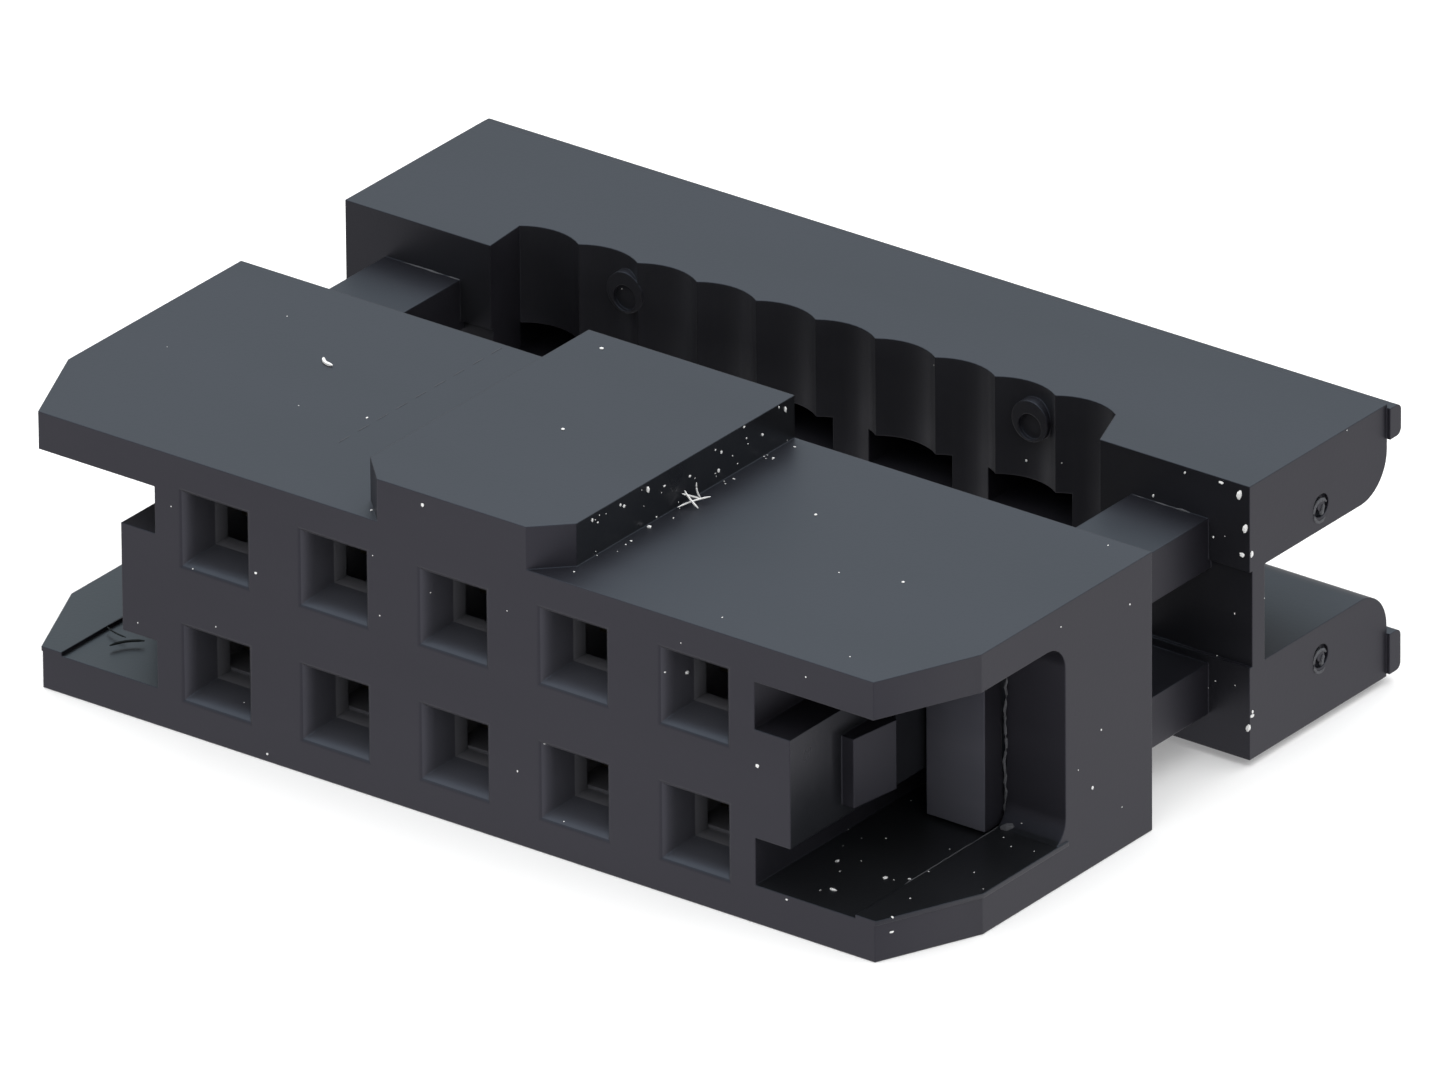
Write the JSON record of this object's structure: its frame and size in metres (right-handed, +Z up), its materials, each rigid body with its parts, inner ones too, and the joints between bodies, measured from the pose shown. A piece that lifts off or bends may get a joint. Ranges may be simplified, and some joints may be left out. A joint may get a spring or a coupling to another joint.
{
  "type": "insulation-displacement ribbon-cable socket connector",
  "caption": "Black two-row ribbon-cable socket with a polarising key, spring contacts with piercing forks, and a slotted-arm clamp cover standing open behind it.",
  "frame": {"origin": "under the middle of the whole connector, on the plane of the housing's bottom plate, with the cover open", "axes": "+X along the rows of contacts, to the right when the mating face is seen with its key up; +Y from the mating face back to the cable cover; +Z up, to the side with the key"},
  "size_m": [0.0152, 0.011, 0.0047],
  "materials": {
    "housing_plastic": "black glass-filled thermoplastic polyester with a fine spark-eroded mould texture",
    "cover_plastic": "black glass-filled thermoplastic polyester, slightly smoother than the housing",
    "contact_metal": "stamped phosphor bronze with a thin bright plating"
  },
  "bodies": {
    "housing": {"housing": "housing_plastic", "contact_1": "contact_metal", "contact_2": "contact_metal", "contact_3": "contact_metal", "contact_4": "contact_metal", "contact_5": "contact_metal", "contact_6": "contact_metal", "contact_7": "contact_metal", "contact_8": "contact_metal", "contact_9": "contact_metal", "contact_10": "contact_metal"},
    "cover": {"cover": "cover_plastic"}
  },
  "joints": [
    {"name": "cover_press", "type": "slide", "parent": "housing", "child": "cover", "axis": [0, -1, 0], "range_m": [0, 0.00224]}
  ]
}
